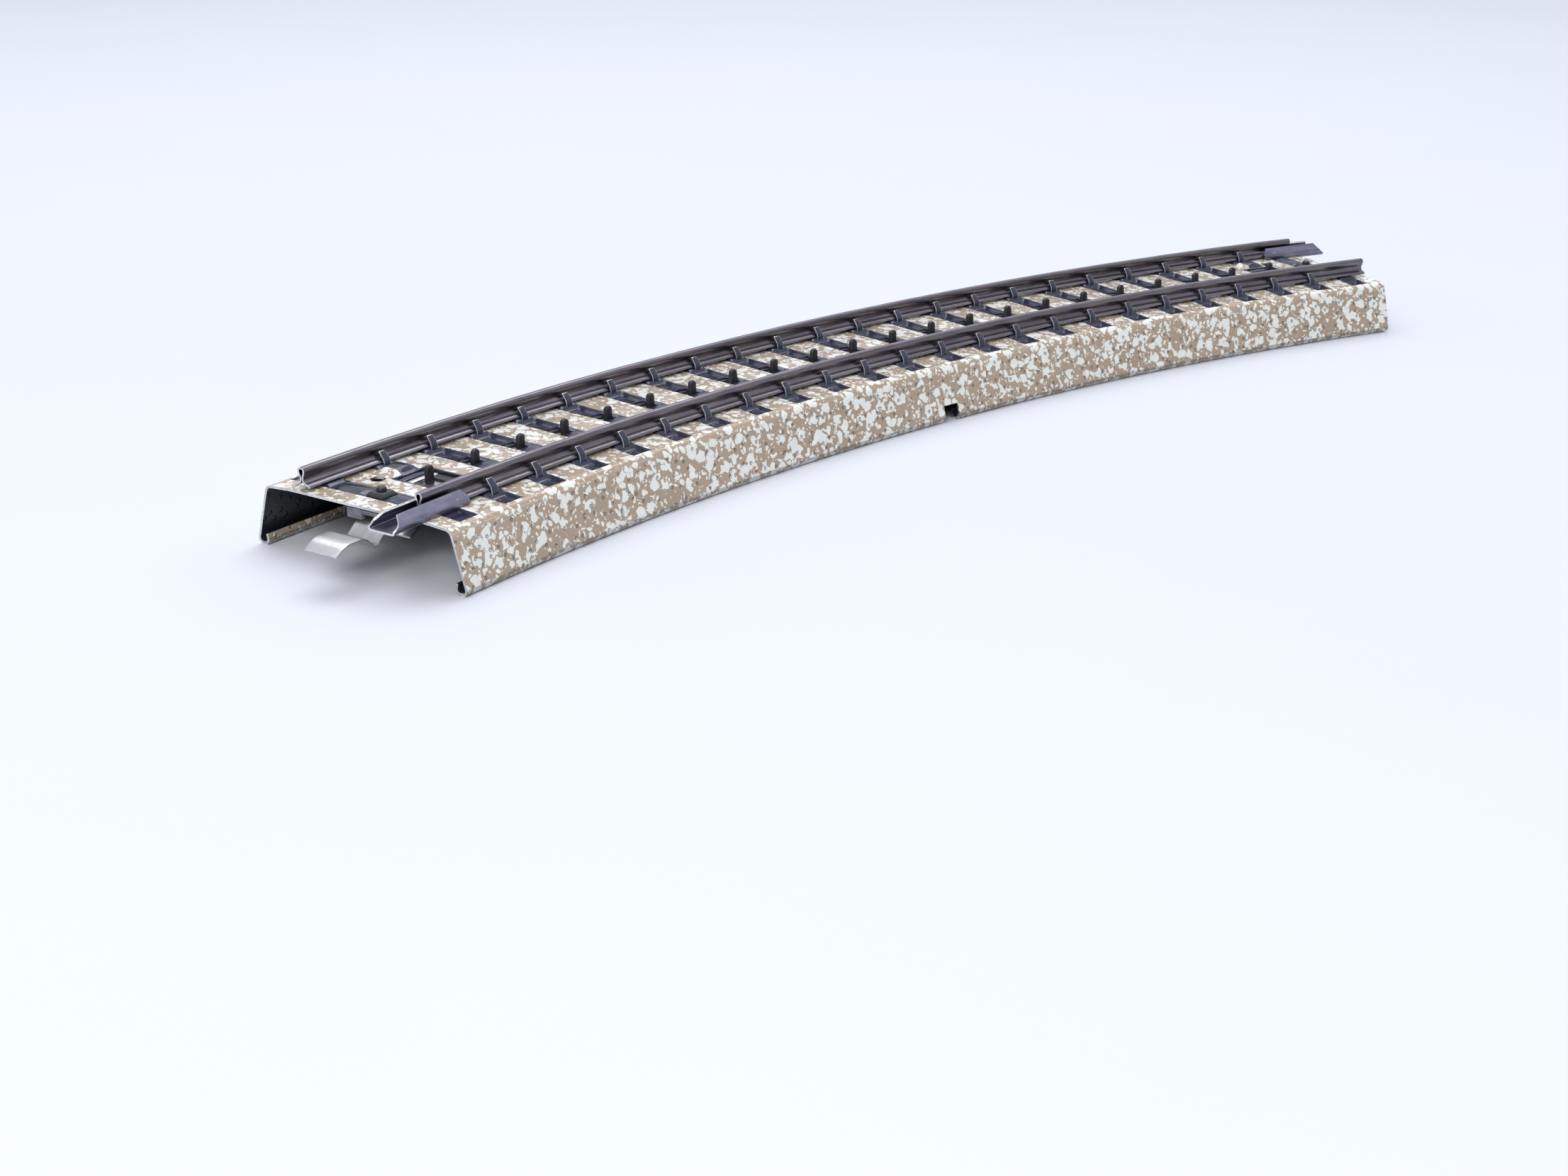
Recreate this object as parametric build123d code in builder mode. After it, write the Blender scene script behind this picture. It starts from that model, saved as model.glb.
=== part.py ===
from build123d import *
import math
import os

os.makedirs("parts", exist_ok=True)

# ---------------------------------------------------------------- driving sizes, millimetres
curve_radius = 360.0
origin_shift = 5.86
centre_y = origin_shift - curve_radius
section_angle = 30.0
half_angle = section_angle / 2
gauge_centres = 17.5
rail_offset = gauge_centres / 2

sheet = 0.4
deck_top = 7.9
deck_flat_half = 10.6
shoulder_half = 14.1
shoulder_drop = 0.22
shoulder_radius = 1.1
base_half = 16.3
hem_width = 1.5
hem_height = 1.5
flank_corner_radius = 0.4
notch_width = 2.8
notch_height = 2.0

sleeper_count = 24
sleeper_pitch = 1.2442
sleeper_width = 3.2
sleeper_end = 13.4
sleeper_press = 0.15
seat_height = 0.3
seat_half = 1.5

stud_width = 1.1
stud_thickness = 0.75
stud_top = 9.5
broad_studs = (8, 15, 22)
broad_foot_half = 0.85
slot_width = 2.0
slot_inner = -0.9
slot_outer = 2.4
window_width = 5.4
window_inner = -5.8
window_outer = 3.0
peg_hole = 1.5
boss_half_width = 1.4
boss_height = 0.55
boss_inner = 3.4
boss_outer = 6.7

screw_hole_radius = 0.9
screw_hole_offset = 4.8
screw_hole_angle = 13.64

clip_width = 1.1
clip_sheet = 0.3

rail_foot_z = deck_top + seat_height
rail_height = 2.5
foot_half = 1.3
foot_sheet = 0.25
web_half = 0.27
head_half = 0.52
joined_end_angle = 14.81
plain_end_angle = 14.93

joiner_sheet = 0.28
joiner_half = 1.75
joiner_length = 12.4
joiner_top = 9.45

liner_top = 7.45
liner_bottom = 7.2
liner_half = 3.6
liner_angle = 13.7
strip_top = 7.15
strip_bottom = 6.85
strip_half = 2.0
strip_angle = 14.0

block_inner = -4.9
block_outer = 1.4
block_length = 6.4
block_bottom = 6.25
flange_thickness = 0.6
flange_notch = 0.65
notch_centre = -1.9
notch_half = 1.0

tongue_inner = -4.4
tongue_outer = 0.4
tongue_sheet = 0.22


# ---------------------------------------------------------------- placement helpers
def radial_plane(angle):
    """Upright plane through the centre of curvature: local x is the radius, local y is height."""
    a = math.radians(angle)
    return Plane(
        origin=(0, centre_y, 0),
        x_dir=(math.sin(a), math.cos(a), 0),
        z_dir=(math.cos(a), -math.sin(a), 0),
    )


def end_plane(side, sideways=0.0):
    """Upright plane along the track at one end: local x runs outwards from the deck's end."""
    a = math.radians(side * half_angle)
    out = (side * math.cos(a), -side * math.sin(a), 0)
    normal = (out[1], -out[0], 0)
    start = (curve_radius * math.sin(a), curve_radius * math.cos(a) + centre_y, 0)
    return Plane(origin=start, x_dir=out, z_dir=normal).offset(sideways)


def sleeper_angle(index):
    return (index - (sleeper_count - 1) / 2) * sleeper_pitch


def lengthwise_plane(angle, offset):
    """Upright plane across the radius: local x runs along the track, y is height."""
    across = radial_plane(angle)
    return Plane(
        origin=across.from_local_coords((curve_radius + offset, 0, 0)),
        x_dir=across.z_dir,
        z_dir=-across.x_dir,
    )


def sector(inner, outer, angle, half_width):
    """Four corners of a patch across the track, parallel to the radius at the given angle."""
    a = math.radians(angle)
    radial = Vector(math.sin(a), math.cos(a), 0)
    along = Vector(math.cos(a), -math.sin(a), 0)
    centre = Vector(0, centre_y, 0)
    points = []
    for offset, shift in ((inner, -1), (outer, -1), (outer, 1), (inner, 1)):
        corner = centre + radial * (curve_radius + offset) + along * (shift * half_width)
        points.append((corner.X, corner.Y))
    return points


turn_axis = Axis((0, centre_y, 0), (0, 0, 1))

# ---------------------------------------------------------------- pressed and hemmed bed
shoulder_z = deck_top - shoulder_drop - sheet / 2
flank_x = base_half - sheet / 2
hem_radius = hem_width / 2 - sheet / 4

with BuildPart() as ballast_bed:
    with BuildSketch(radial_plane(half_angle)):
        for sign in (-1, 1):
            with BuildLine():
                deck_line = FilletPolyline(
                    (curve_radius, deck_top - sheet / 2),
                    (curve_radius + sign * deck_flat_half, deck_top - sheet / 2),
                    (curve_radius + sign * shoulder_half, shoulder_z),
                    (curve_radius + sign * flank_x, sheet / 2 + hem_radius),
                    radius=shoulder_radius - sheet / 2,
                )
                hem_arc = TangentArc(
                    deck_line @ 1,
                    (curve_radius + sign * (flank_x - 2 * hem_radius), sheet / 2 + hem_radius),
                    tangent=(0, -1),
                )
                Line(
                    hem_arc @ 1,
                    (curve_radius + sign * (flank_x - 2 * hem_radius + 0.15), hem_height),
                )
            trace(line_width=sheet)
    revolve(axis=turn_axis, revolution_arc=section_angle)

    # seats that carry the rail feet, level with the joiner plates
    with BuildSketch(Plane.XY.offset(deck_top - sheet / 2)):
        for index in range(sleeper_count):
            for sign in (-1, 1):
                if (index, sign) in ((0, -1), (sleeper_count - 1, 1)):
                    continue
                middle = sign * rail_offset
                with BuildLine():
                    Polyline(
                        *sector(middle - seat_half, middle + seat_half,
                                sleeper_angle(index), sleeper_width / 2),
                        close=True,
                    )
                make_face()
    extrude(amount=sheet / 2 + seat_height)

    # painted sleepers, pressed slightly into the deck between and outside the rails
    with BuildSketch(Plane.XY.offset(deck_top)):
        for index in range(sleeper_count):
            for inner, outer in (
                (-sleeper_end, -rail_offset - seat_half - 0.5),
                (-rail_offset + seat_half + 0.5, rail_offset - seat_half - 0.5),
                (rail_offset + seat_half + 0.5, sleeper_end),
            ):
                with BuildLine():
                    Polyline(
                        *sector(inner, outer, sleeper_angle(index), sleeper_width / 2),
                        close=True,
                    )
                make_face()
    extrude(amount=-sleeper_press, mode=Mode.SUBTRACT)

    # openings for the studs, the long windows and the snap-in pegs
    with BuildSketch(Plane.XY.offset(deck_top + 1)):
        for index in range(1, sleeper_count - 1):
            long_window = index in (1, sleeper_count - 2)
            inner = window_inner if long_window else slot_inner
            outer = window_outer if long_window else slot_outer
            half = (window_width if long_window else slot_width) / 2
            with BuildLine():
                Polyline(*sector(inner, outer, sleeper_angle(index), half), close=True)
            make_face()
        for index in (0, sleeper_count - 1):
            with BuildLine():
                Polyline(
                    *sector(-peg_hole / 2, peg_hole / 2, sleeper_angle(index), peg_hole / 2),
                    close=True,
                )
            make_face()
    extrude(amount=-2, mode=Mode.SUBTRACT)

    # rounded bosses on the outer half of the second sleeper from each end
    for index in (1, sleeper_count - 2):
        with BuildSketch(lengthwise_plane(sleeper_angle(index), boss_inner)):
            with BuildLine():
                Line((-boss_half_width, deck_top - 0.3), (boss_half_width, deck_top - 0.3))
                ThreePointArc(
                    (boss_half_width, deck_top - 0.3),
                    (0, deck_top + boss_height),
                    (-boss_half_width, deck_top - 0.3),
                )
            make_face()
        extrude(amount=-(boss_outer - boss_inner))

    # screw holes near both ends
    screw_radius_line = curve_radius + screw_hole_offset
    screw_x = screw_radius_line * math.sin(math.radians(screw_hole_angle))
    screw_y = screw_radius_line * math.cos(math.radians(screw_hole_angle)) + centre_y
    with BuildSketch(Plane.XY.offset(deck_top + 1)):
        with Locations((screw_x, screw_y), (-screw_x, screw_y)):
            Circle(screw_hole_radius)
    extrude(amount=-2, mode=Mode.SUBTRACT)

    # notch in the lower edge of both flanks at mid-length
    with BuildSketch(Plane.XZ.offset(-30)):
        RectangleRounded(notch_width, 2 * notch_height, 0.6)
    extrude(amount=60, mode=Mode.SUBTRACT)

    # rounded lower corners at the four flank ends
    for side in (-1, 1):
        with BuildSketch(end_plane(side, -30)):
            with BuildLine():
                Line((0.5, -0.5), (0.5, flank_corner_radius))
                Line((0.5, flank_corner_radius), (0, flank_corner_radius))
                RadiusArc(
                    (0, flank_corner_radius),
                    (-flank_corner_radius, 0),
                    flank_corner_radius,
                )
                Line((-flank_corner_radius, 0), (-flank_corner_radius, -0.5))
                Line((-flank_corner_radius, -0.5), (0.5, -0.5))
            make_face()
        extrude(amount=60, mode=Mode.SUBTRACT)

    # rail clips lanced up on both sides of each rail
    for index in range(1, sleeper_count - 1):
        with BuildSketch(radial_plane(sleeper_angle(index))):
            for rail_sign in (-1, 1):
                middle = curve_radius + rail_sign * rail_offset
                for sign in (-1, 1):
                    with BuildLine():
                        Polyline(
                            (middle + sign * 1.57, deck_top - sheet / 2),
                            (middle + sign * 1.57, deck_top + 0.6),
                            (middle + sign * 0.62, deck_top + 1.62),
                        )
                    trace(line_width=clip_sheet)
        extrude(amount=clip_width / 2, both=True)
ballast_bed.part.label = "ballast_bed"
export_step(ballast_bed.part, "parts/ballast_bed.step")


# ---------------------------------------------------------------- hollow rolled rails
def build_rail(middle, start_angle):
    """Pear-shaped hollow head on a closed web with a foot flared to both sides."""
    foot = rail_foot_z
    with BuildPart() as rail:
        with BuildSketch(radial_plane(start_angle)):
            for sign in (-1, 1):
                with BuildLine():
                    Polyline(
                        (middle, foot + rail_height),
                        (middle, foot),
                        (middle + sign * foot_half, foot),
                        (middle + sign * foot_half, foot + foot_sheet),
                        (middle + sign * (web_half + 0.25), foot + foot_sheet + 0.1),
                        (middle + sign * web_half, foot + foot_sheet + 0.35),
                        (middle + sign * web_half, foot + 0.95),
                    )
                    Spline(
                        (middle + sign * web_half, foot + 0.95),
                        (middle + sign * head_half, foot + 1.9),
                        (middle, foot + rail_height),
                        tangents=((sign * 0.25, 1), (-sign, 0)),
                    )
                make_face()
            for sign in (-1, 1):
                with BuildLine():
                    Spline(
                        (middle, foot + 1.1),
                        (middle + sign * (head_half - 0.2), foot + 1.85),
                        (middle, foot + rail_height - 0.2),
                        tangents=((sign * 0.35, 1), (-sign, 0)),
                    )
                    Line((middle, foot + rail_height - 0.2), (middle, foot + 1.1))
                make_face(mode=Mode.SUBTRACT)
        revolve(axis=turn_axis, revolution_arc=plain_end_angle + joined_end_angle)
    return rail


inner_rail = build_rail(curve_radius - rail_offset, plain_end_angle)
inner_rail.part.label = "inner_rail"
export_step(inner_rail.part, "parts/inner_rail.step")

outer_rail = build_rail(curve_radius + rail_offset, joined_end_angle)
outer_rail.part.label = "outer_rail"
export_step(outer_rail.part, "parts/outer_rail.step")


# ---------------------------------------------------------------- folded rail joiners
def build_joiner(side):
    """Plate under the rail foot with both edges folded up and in, slanted at the open end."""
    middle = curve_radius + side * rail_offset
    turn = math.degrees(joiner_length / middle)
    wall = joiner_half - joiner_sheet / 2
    plate_z = deck_top + joiner_sheet / 2 + 0.02
    reach = joiner_length / 2 - math.radians(half_angle - joined_end_angle) * middle
    with BuildPart() as joiner:
        with BuildSketch(radial_plane(side * joined_end_angle + turn / 2)):
            with BuildLine():
                Polyline(
                    (middle - 0.95, joiner_top),
                    (middle - wall, deck_top + 0.75),
                    (middle - wall + 0.1, plate_z),
                    (middle + wall - 0.1, plate_z),
                    (middle + wall, deck_top + 0.75),
                    (middle + 0.95, joiner_top),
                )
            trace(line_width=joiner_sheet - 0.04)
        revolve(axis=turn_axis, revolution_arc=turn)
        with BuildSketch(end_plane(side, -rail_offset - 4)):
            with BuildLine():
                Polyline(
                    (reach - 1.5, joiner_top + 0.5),
                    (reach - 1.2, deck_top + 1.3),
                    (reach - 0.2, deck_top + 0.45),
                    (reach + 1.0, deck_top + 0.45),
                    (reach + 1.0, joiner_top + 0.5),
                    close=True,
                )
            make_face()
        extrude(amount=8, mode=Mode.SUBTRACT)
    return joiner


rail_joiner_left = build_joiner(-1)
rail_joiner_left.part.label = "rail_joiner_left"
export_step(rail_joiner_left.part, "parts/rail_joiner_left.step")

rail_joiner_right = build_joiner(1)
rail_joiner_right.part.label = "rail_joiner_right"
export_step(rail_joiner_right.part, "parts/rail_joiner_right.step")

# ---------------------------------------------------------------- liner under the deck
with BuildPart() as insulating_strip:
    with BuildSketch(radial_plane(liner_angle)):
        with Locations((curve_radius, (liner_top + liner_bottom) / 2)):
            Rectangle(2 * liner_half, liner_top - liner_bottom)
    revolve(axis=turn_axis, revolution_arc=2 * liner_angle)
    with BuildSketch(Plane.XY.offset(deck_top)):
        for index in range(1, sleeper_count - 1):
            with BuildLine():
                Polyline(
                    *sector(-1.9, 1.9, sleeper_angle(index), slot_width / 2 + 0.2),
                    close=True,
                )
            make_face()
    extrude(amount=-2, mode=Mode.SUBTRACT)
insulating_strip.part.label = "insulating_strip"
export_step(insulating_strip.part, "parts/insulating_strip.step")

# ---------------------------------------------------------------- centre conductor with studs
with BuildPart() as centre_conductor:
    with BuildSketch(radial_plane(strip_angle)):
        with Locations((curve_radius, (strip_top + strip_bottom) / 2)):
            Rectangle(2 * strip_half, strip_top - strip_bottom)
    revolve(axis=turn_axis, revolution_arc=2 * strip_angle)

    # openings left in the strip where each stud is lanced up
    with BuildSketch(Plane.XY.offset(deck_top)):
        for index in range(1, sleeper_count - 1):
            with BuildLine():
                Polyline(*sector(0.4, 1.3, sleeper_angle(index), stud_width / 2), close=True)
            make_face()
    extrude(amount=-2, mode=Mode.SUBTRACT)

    # upright contact studs with rounded tops
    shoulder = stud_top - stud_width / 2
    for index in range(1, sleeper_count - 1):
        foot = broad_foot_half if index in broad_studs else stud_width / 2
        with BuildSketch(lengthwise_plane(sleeper_angle(index), -stud_thickness / 2)):
            with BuildLine():
                Line((-foot, strip_bottom), (foot, strip_bottom))
                Line((foot, strip_bottom), (stud_width / 2, shoulder))
                ThreePointArc(
                    (stud_width / 2, shoulder),
                    (0, stud_top),
                    (-stud_width / 2, shoulder),
                )
                Line((-stud_width / 2, shoulder), (-foot, strip_bottom))
            make_face()
        extrude(amount=-stud_thickness)

    # end plates and the short side tabs beside the spring tongues
    for side in (-1, 1):
        with BuildSketch(end_plane(side, -9.4)):
            with BuildLine():
                Polyline((-7.2, strip_bottom + 0.15), (-1.9, strip_bottom + 0.15))
            trace(line_width=strip_top - strip_bottom)
        extrude(amount=9.8)
        with BuildSketch(end_plane(side, -9.4)):
            with BuildLine():
                Polyline(
                    (-2.4, strip_bottom + 0.15),
                    (-0.9, strip_bottom + 0.05),
                    (0.3, strip_bottom - 0.55),
                    (1.2, strip_bottom - 0.95),
                )
            trace(line_width=strip_top - strip_bottom)
        extrude(amount=4.2)
centre_conductor.part.label = "centre_conductor"
export_step(centre_conductor.part, "parts/centre_conductor.step")


# ---------------------------------------------------------------- end insulators with pegs
def build_insulator(side):
    """Plate under the deck, notched front flange, and a peg with a knob above the deck."""
    peg_x = math.radians(sleeper_angle(sleeper_count - 1) - half_angle) * curve_radius
    ground = end_plane(side)
    level = Plane(
        origin=ground.from_local_coords((peg_x, 0, 0)),
        x_dir=ground.x_dir,
        z_dir=(0, 0, 1),
    )
    with BuildPart() as insulator:
        with BuildSketch(end_plane(side, block_inner)):
            with Locations((-block_length / 2, (strip_top + liner_top) / 2 + 0.01)):
                Rectangle(block_length, liner_top - strip_top - 0.02)
            with Locations((-flange_thickness / 2, (block_bottom + liner_top) / 2)):
                Rectangle(flange_thickness, liner_top - block_bottom)
        extrude(amount=block_outer - block_inner)
        with BuildSketch(ground.offset(notch_centre - notch_half)):
            with Locations((-flange_thickness / 2, block_bottom)):
                Rectangle(flange_thickness + 0.2, 2 * flange_notch)
        extrude(amount=2 * notch_half, mode=Mode.SUBTRACT)
        with BuildSketch(level.offset(liner_top - 0.1)):
            Rectangle(peg_hole - 0.3, peg_hole - 0.3)
        extrude(amount=deck_top - liner_top + 0.2)
        with BuildSketch(level.offset(deck_top + 0.02)):
            Rectangle(2.3, 2.3)
        extrude(amount=0.45, taper=32)
        with BuildSketch(level.offset(deck_top + 0.3)):
            Circle(0.55)
        extrude(amount=0.75)
    return insulator


end_insulator_left = build_insulator(-1)
end_insulator_left.part.label = "end_insulator_left"
export_step(end_insulator_left.part, "parts/end_insulator_left.step")

end_insulator_right = build_insulator(1)
end_insulator_right.part.label = "end_insulator_right"
export_step(end_insulator_right.part, "parts/end_insulator_right.step")


# ---------------------------------------------------------------- wavy contact springs
def build_spring(side):
    """Tongue with a root, a slope down, a valley, a crest and a turned-down lip."""
    with BuildPart() as spring:
        with BuildSketch(end_plane(side, tongue_inner)):
            with BuildLine():
                FilletPolyline(
                    (-2.4, strip_bottom - 0.25),
                    (-1.6, strip_bottom - 0.25),
                    (1.67, 3.8),
                    (3.3, 5.55),
                    (6.2, 5.55),
                    (7.75, 4.6),
                    radius=0.5,
                )
            trace(line_width=tongue_sheet)
        extrude(amount=tongue_outer - tongue_inner)
    return spring


contact_spring_left = build_spring(-1)
contact_spring_left.part.label = "contact_spring_left"
export_step(contact_spring_left.part, "parts/contact_spring_left.step")

contact_spring_right = build_spring(1)
contact_spring_right.part.label = "contact_spring_right"
export_step(contact_spring_right.part, "parts/contact_spring_right.step")
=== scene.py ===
import math
import random

import bpy
from mathutils import Matrix, Vector


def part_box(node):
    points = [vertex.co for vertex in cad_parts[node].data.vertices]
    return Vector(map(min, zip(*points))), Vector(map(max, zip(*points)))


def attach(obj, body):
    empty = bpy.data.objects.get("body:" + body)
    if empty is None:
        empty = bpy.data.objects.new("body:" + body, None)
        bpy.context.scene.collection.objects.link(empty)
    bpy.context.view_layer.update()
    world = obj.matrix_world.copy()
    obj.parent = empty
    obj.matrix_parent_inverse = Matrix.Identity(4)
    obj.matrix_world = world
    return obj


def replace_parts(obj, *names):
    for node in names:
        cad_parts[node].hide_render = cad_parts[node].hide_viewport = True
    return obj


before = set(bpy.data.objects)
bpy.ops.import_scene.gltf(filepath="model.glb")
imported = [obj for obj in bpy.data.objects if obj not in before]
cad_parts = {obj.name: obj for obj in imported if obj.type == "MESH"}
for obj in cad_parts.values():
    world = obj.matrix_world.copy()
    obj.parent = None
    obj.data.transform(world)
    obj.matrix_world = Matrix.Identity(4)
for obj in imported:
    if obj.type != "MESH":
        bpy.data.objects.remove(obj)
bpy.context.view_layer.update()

random.seed(24)

# ------------------------------------------------------------------ sizes, millimetres and degrees
# An offset, or lat, is measured across the track from the centreline, positive away from the
# centre of the curve. An angle is measured about that centre from the middle of the section,
# and a height from the base.
MM = 0.001
CURVE_RADIUS = 360.0
HALF_ANGLE = 15.0
RAIL_OFFSET = 8.75
SHEET = 0.3
DECK_TOP = 7.9
DECK_FLAT_HALF = 10.6
DECK_WAVE = 0.035
SHOULDER_HALF = 14.1
SHOULDER_DROP = 0.22
SHOULDER_ROUND = 0.85
BASE_HALF = 16.3
HEM_RADIUS = 0.85
HEM_LIP_TOP = 1.5
CORNER_RADIUS = 0.4
CORNER_REACH = 3.0
NOTCH_HALF = 1.4
NOTCH_TOP = 2.0
FLANK_WAVE = 0.05
FLANK_DENTS_PER_MM = 0.56

SLEEPERS = 24
SLEEPER_PITCH = 1.2442
SLEEPER_HALF = 1.6
SLEEPER_END = 13.4
SLEEPER_DROP = 0.05
SEAT_HALF = 1.5
SEAT_BLEND = 0.45
SEAT_HEIGHT = 0.3
PAN_START = 10.35
PAN_FULL = 10.9
PAN_DEPTH = 0.50
PAD_END = 6.95
CROWN_HEIGHT = 0.34
HOLLOW_DEPTH = 0.42
SLOT_HALF = 1.0
SLOT_INNER = -0.9
SLOT_OUTER = 2.4
SLOT_DROP = 0.16
PEG_HOLE_HALF = 0.75
WINDOW_HALF = 2.7
WINDOW_INNER = -5.8
WINDOW_OUTER = 3.0
WINDOW_FRAME = 0.35
BOSS_INNER = 3.4
BOSS_OUTER = 6.7
BOSS_HALF = 1.75
BOSS_HEIGHT = 0.7
BOSS_SKIRT = 0.25
BOSS_SLOPE = 0.8
SCREW_OFFSET = 4.8
SCREW_ANGLE = 13.64
SCREW_RADIUS = 0.9
SCREW_BLEND = 0.5
SCREW_DIP = 0.12
SCREW_LINES = [SCREW_RADIUS * k / 5 for k in range(-7, 8)]

CLIP_HALF = 0.56
CLIP_HALF_SHEET = 0.15
RAIL_SHEET = 0.23
JOINED_END = 14.81
PLAIN_END = 14.93
JOINER_LENGTH = 12.4
JOINER_SHEET = 0.26
SPRING_INNER = -4.4
SPRING_OUTER = 0.4
SPRING_TIP = 7.75
SPRING_THICKNESS = 0.2
STUD_HALF = 0.55
STUD_DEEP = 0.38
STUD_TOP = 9.5
STRIP_HALF = 2.0
STRIP_END = 14.0
STRIP_TOP = 7.15
STRIP_SHEET = 0.3
PLATE_INNER = -9.4
PLATE_OUTER = 0.4
TAB_OUTER = -5.2
PLATE_SHEET = 0.28

bed_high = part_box("ballast_bed")[1]
rail_low, rail_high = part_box("inner_rail")
CENTRE_Y = bed_high.y / MM - CURVE_RADIUS - BASE_HALF
RAIL_FOOT = rail_low.z / MM
RAIL_HEIGHT = (rail_high.z - rail_low.z) / MM


def sleeper_angle(index):
    return (index - (SLEEPERS - 1) / 2) * SLEEPER_PITCH


def degrees_of(length, lat=0.0):
    """The angle of the curve that a length along it covers."""
    return math.degrees(length / (CURVE_RADIUS + lat))


def place(lat, angle, z):
    """Row-frame point, in metres, from the offset, the angle and the height."""
    a = math.radians(angle)
    r = CURVE_RADIUS + lat
    return Vector((r * math.sin(a) * MM, (r * math.cos(a) + CENTRE_Y) * MM, z * MM))


def beyond_end(side, out, lat, z):
    """Row-frame point from the distance past the deck's end, measured straight on along the track."""
    a = math.radians(side * HALF_ANGLE)
    r = CURVE_RADIUS + lat
    x = r * math.sin(a) + out * side * math.cos(a)
    y = r * math.cos(a) + CENTRE_Y - out * side * math.sin(a)
    return Vector((x * MM, y * MM, z * MM))


# ------------------------------------------------------------------ shape helpers
def ramp(value, low, high):
    """Rises smoothly from 0 at low to 1 at high."""
    t = min(max((value - low) / (high - low), 0.0), 1.0)
    return t * t * (3 - 2 * t)


def rounded(points, radius, steps=6):
    """A polyline with each inner corner replaced by an arc-like curve."""
    out = [points[0]]
    for before, corner, after in zip(points, points[1:], points[2:]):
        p, q, r = Vector(before), Vector(corner), Vector(after)
        reach = min(radius, (p - q).length * 0.49, (r - q).length * 0.49)
        start = q + (p - q).normalized() * reach
        end = q + (r - q).normalized() * reach
        for k in range(steps + 1):
            t = k / steps
            out.append(tuple(start * (1 - t) ** 2 + q * 2 * t * (1 - t) + end * t ** 2))
    out.append(points[-1])
    return out


def smoothed(points, steps=5):
    """A Catmull-Rom curve through the points."""
    p = [Vector(v) for v in points]
    p = [2 * p[0] - p[1]] + p + [2 * p[-1] - p[-2]]
    out = []
    for a, b, c, d in zip(p, p[1:], p[2:], p[3:]):
        for k in range(steps):
            t = k / steps
            out.append(tuple(0.5 * ((2 * b) + (c - a) * t + (2 * a - 5 * b + 4 * c - d) * t * t
                                    + (3 * b - a - 3 * c + d) * t ** 3)))
    out.append(tuple(p[-2]))
    return out


def filled(values, gap):
    """The values in order, with more between them so that no step is over the gap."""
    values = sorted(set(round(v, 5) for v in values))
    out = [values[0]]
    for a, b in zip(values, values[1:]):
        parts = max(1, math.ceil((b - a) / gap - 1e-6))
        out += [a + (b - a) * (k + 1) / parts for k in range(parts)]
    return out


def add_object(name, mesh, materials):
    obj = bpy.data.objects.new(name, mesh)
    bpy.context.scene.collection.objects.link(obj)
    for material in materials:
        mesh.materials.append(material)
    return obj


def grid_object(name, rows, columns, point, materials, keep=None, slot=None):
    """A sheet of quads. point(r, c) gives a corner; keep(r, c) and slot(r, c) say whether a quad
    stays and which material it has."""
    verts = [point(r, c) for r in range(rows) for c in range(columns)]
    faces, slots = [], []
    for r in range(rows - 1):
        for c in range(columns - 1):
            if keep is None or keep(r, c):
                k = r * columns + c
                faces.append((k, k + columns, k + columns + 1, k + 1))
                slots.append(slot(r, c) if slot else 0)
    mesh = bpy.data.meshes.new(name)
    mesh.from_pydata(verts, [], faces)
    mesh.polygons.foreach_set("material_index", slots)
    mesh.polygons.foreach_set("use_smooth", [True] * len(faces))
    return add_object(name, mesh, materials)


def settle(obj, sharp=35):
    """Applies the modifiers and marks the sharp edges."""
    dg = bpy.context.evaluated_depsgraph_get()
    mesh = bpy.data.meshes.new_from_object(obj.evaluated_get(dg))
    obj.modifiers.clear()
    old = obj.data
    obj.data = mesh
    bpy.data.meshes.remove(old)
    mesh.name = obj.name
    mesh.polygons.foreach_set("use_smooth", [True] * len(mesh.polygons))
    mesh.set_sharp_from_angle(angle=math.radians(sharp))
    return obj


def thicken(obj, thickness, inner_slot=0, rim_slot=0, even=False):
    """Gives a sheet its thickness, inwards from the surface that was built."""
    m = obj.modifiers.new("thickness", "SOLIDIFY")
    m.thickness = thickness * MM
    m.offset = -1
    m.use_even_offset = even
    m.use_rim = True
    m.material_offset = inner_slot
    m.material_offset_rim = rim_slot
    return obj


def soften(obj, width, edge_slot=-1):
    """Rounds the edges over 30 degrees; edge_slot gives the rounded faces their own material."""
    m = obj.modifiers.new("edges", "BEVEL")
    m.material = edge_slot
    m.width = width * MM
    m.segments = 2
    m.limit_method = "ANGLE"
    m.angle_limit = math.radians(30)
    m.use_clamp_overlap = True
    return obj


class Solids:
    """Collects closed bodies into one mesh."""

    def __init__(self):
        self.verts, self.faces, self.slots = [], [], []

    def loft(self, rings, last_slot=0):
        """A closed body through rings of points, capped at both ends."""
        base, n = len(self.verts), len(rings[0])
        for ring in rings:
            self.verts += ring
        for r in range(len(rings) - 1):
            for k in range(n):
                a, b = base + r * n + k, base + r * n + (k + 1) % n
                self.faces.append((a, b, b + n, a + n))
                self.slots.append(0)
        self.faces.append(tuple(base + k for k in reversed(range(n))))
        self.faces.append(tuple(base + (len(rings) - 1) * n + k for k in range(n)))
        self.slots += [0, last_slot]

    def object(self, name, materials):
        mesh = bpy.data.meshes.new(name)
        mesh.from_pydata(self.verts, [], self.faces)
        mesh.polygons.foreach_set("material_index", self.slots)
        mesh.validate()
        obj = add_object(name, mesh, materials)
        fix = obj.modifiers.new("seams", "WELD")
        fix.merge_threshold = 1e-6
        return obj


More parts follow.
